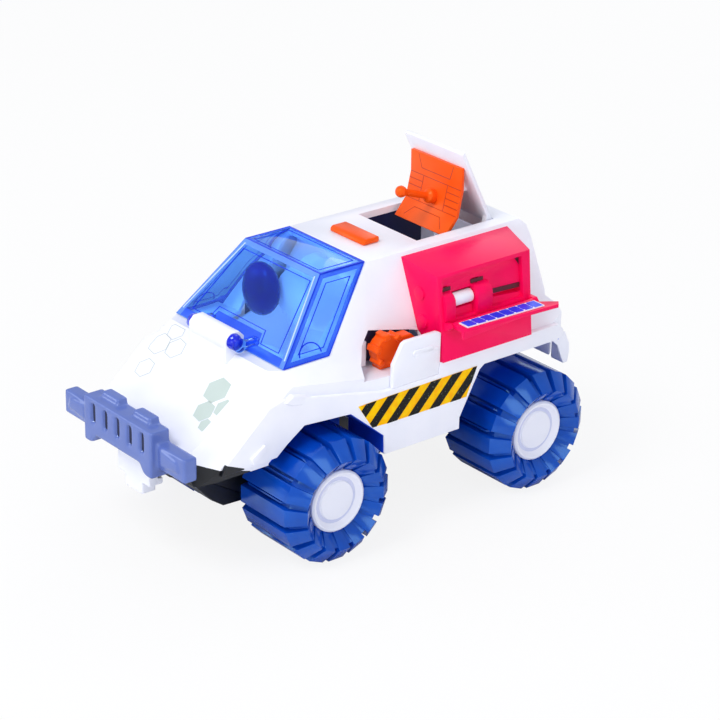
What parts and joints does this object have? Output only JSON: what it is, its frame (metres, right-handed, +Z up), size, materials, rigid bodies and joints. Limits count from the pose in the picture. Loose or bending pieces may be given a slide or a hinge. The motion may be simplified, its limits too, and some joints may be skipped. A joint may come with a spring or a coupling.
{
  "type": "toy planetary rover",
  "caption": "Toy planetary rover with chunky tyres, blue clear canopy, grille bumper, open roof hatch with folding dish and red side module with fold-up tray",
  "frame": {"origin": "on the floor, at the middle of the plan view with the side tray; the mid-plane of the vehicle is 1.7 mm towards -X", "axes": "+Z up, nose towards -Y, +X the left side of the vehicle"},
  "size_m": [0.1394, 0.2419, 0.1705],
  "materials": {
    "white_shell": "gloss",
    "canopy_blue": "gloss",
    "grille_blue": "gloss",
    "blue_rubber": "matte",
    "red_plastic": "gloss",
    "orange_plastic": "gloss",
    "black_plastic": "matte",
    "navy_plastic": "matte",
    "cell_blue": "gloss",
    "steel_rod": "satin"
  },
  "bodies": {
    "hull": {"body_shell": "white_shell", "chassis": "black_plastic", "bumper": "grille_blue", "rear_bumper": "white_shell", "nose_lug": "white_shell", "cockpit_tub": "black_plastic", "seat": "navy_plastic", "roof_button": "orange_plastic", "module_l": "red_plastic", "side_skirt_l": "white_shell", "guard_flap_l": "white_shell", "claw_tool_l": "orange_plastic", "side_skirt_r": "white_shell", "guard_flap_r": "white_shell", "claw_tool_r": "orange_plastic"},
    "canopy_body": {"canopy": "canopy_blue"},
    "hatch_body": {"roof_hatch": "white_shell"},
    "dish_body": {"dish": "orange_plastic", "dish_stalk": "orange_plastic"},
    "wheels_front": {"axle_front": "steel_rod", "hub_front_l": "white_shell", "hub_front_r": "white_shell", "tyre_front_l": "blue_rubber", "tyre_front_r": "blue_rubber"},
    "wheels_rear": {"axle_rear": "steel_rod", "hub_rear_l": "white_shell", "hub_rear_r": "white_shell", "tyre_rear_l": "blue_rubber", "tyre_rear_r": "blue_rubber"},
    "roller_body_l": {"roller_l": "white_shell"},
    "tray_body_l": {"tray_l": "red_plastic", "solar_strip_l": "cell_blue"}
  },
  "joints": [
    {"name": "canopy_hinge", "type": "hinge", "parent": "hull", "child": "canopy_body", "pos_m": [-0.0017, -0.0635, 0.1026], "axis": [1, 0, 0], "range_deg": [0, 70]},
    {"name": "hatch_hinge", "type": "hinge", "parent": "hull", "child": "hatch_body", "pos_m": [-0.0017, 0.0873, 0.128], "axis": [1, 0, 0], "range_deg": [0, 63]},
    {"name": "dish_hinge", "type": "hinge", "parent": "hatch_body", "child": "dish_body", "pos_m": [-0.0017, 0.076, 0.148], "axis": [1, 0, 0], "range_deg": [0, 25.2]},
    {"name": "front_axle_spin", "type": "hinge", "parent": "hull", "child": "wheels_front", "pos_m": [-0.0017, -0.0383, 0.0313], "axis": [1, 0, 0], "continuous": true},
    {"name": "rear_axle_spin", "type": "hinge", "parent": "hull", "child": "wheels_rear", "pos_m": [-0.0017, 0.0897, 0.0313], "axis": [1, 0, 0], "continuous": true},
    {"name": "roller_spin_l", "type": "hinge", "parent": "hull", "child": "roller_body_l", "pos_m": [0.0503, 0.04275, 0.1118], "axis": [0, 1, 0], "continuous": true},
    {"name": "tray_hinge_l", "type": "hinge", "parent": "hull", "child": "tray_body_l", "pos_m": [0.0579, 0.058, 0.102], "axis": [0, -1, 0], "range_deg": [0, 90]}
  ],
  "couplings": [
    {"joint": "dish_hinge", "follows": "hatch_hinge", "ratio": 0.4}
  ]
}
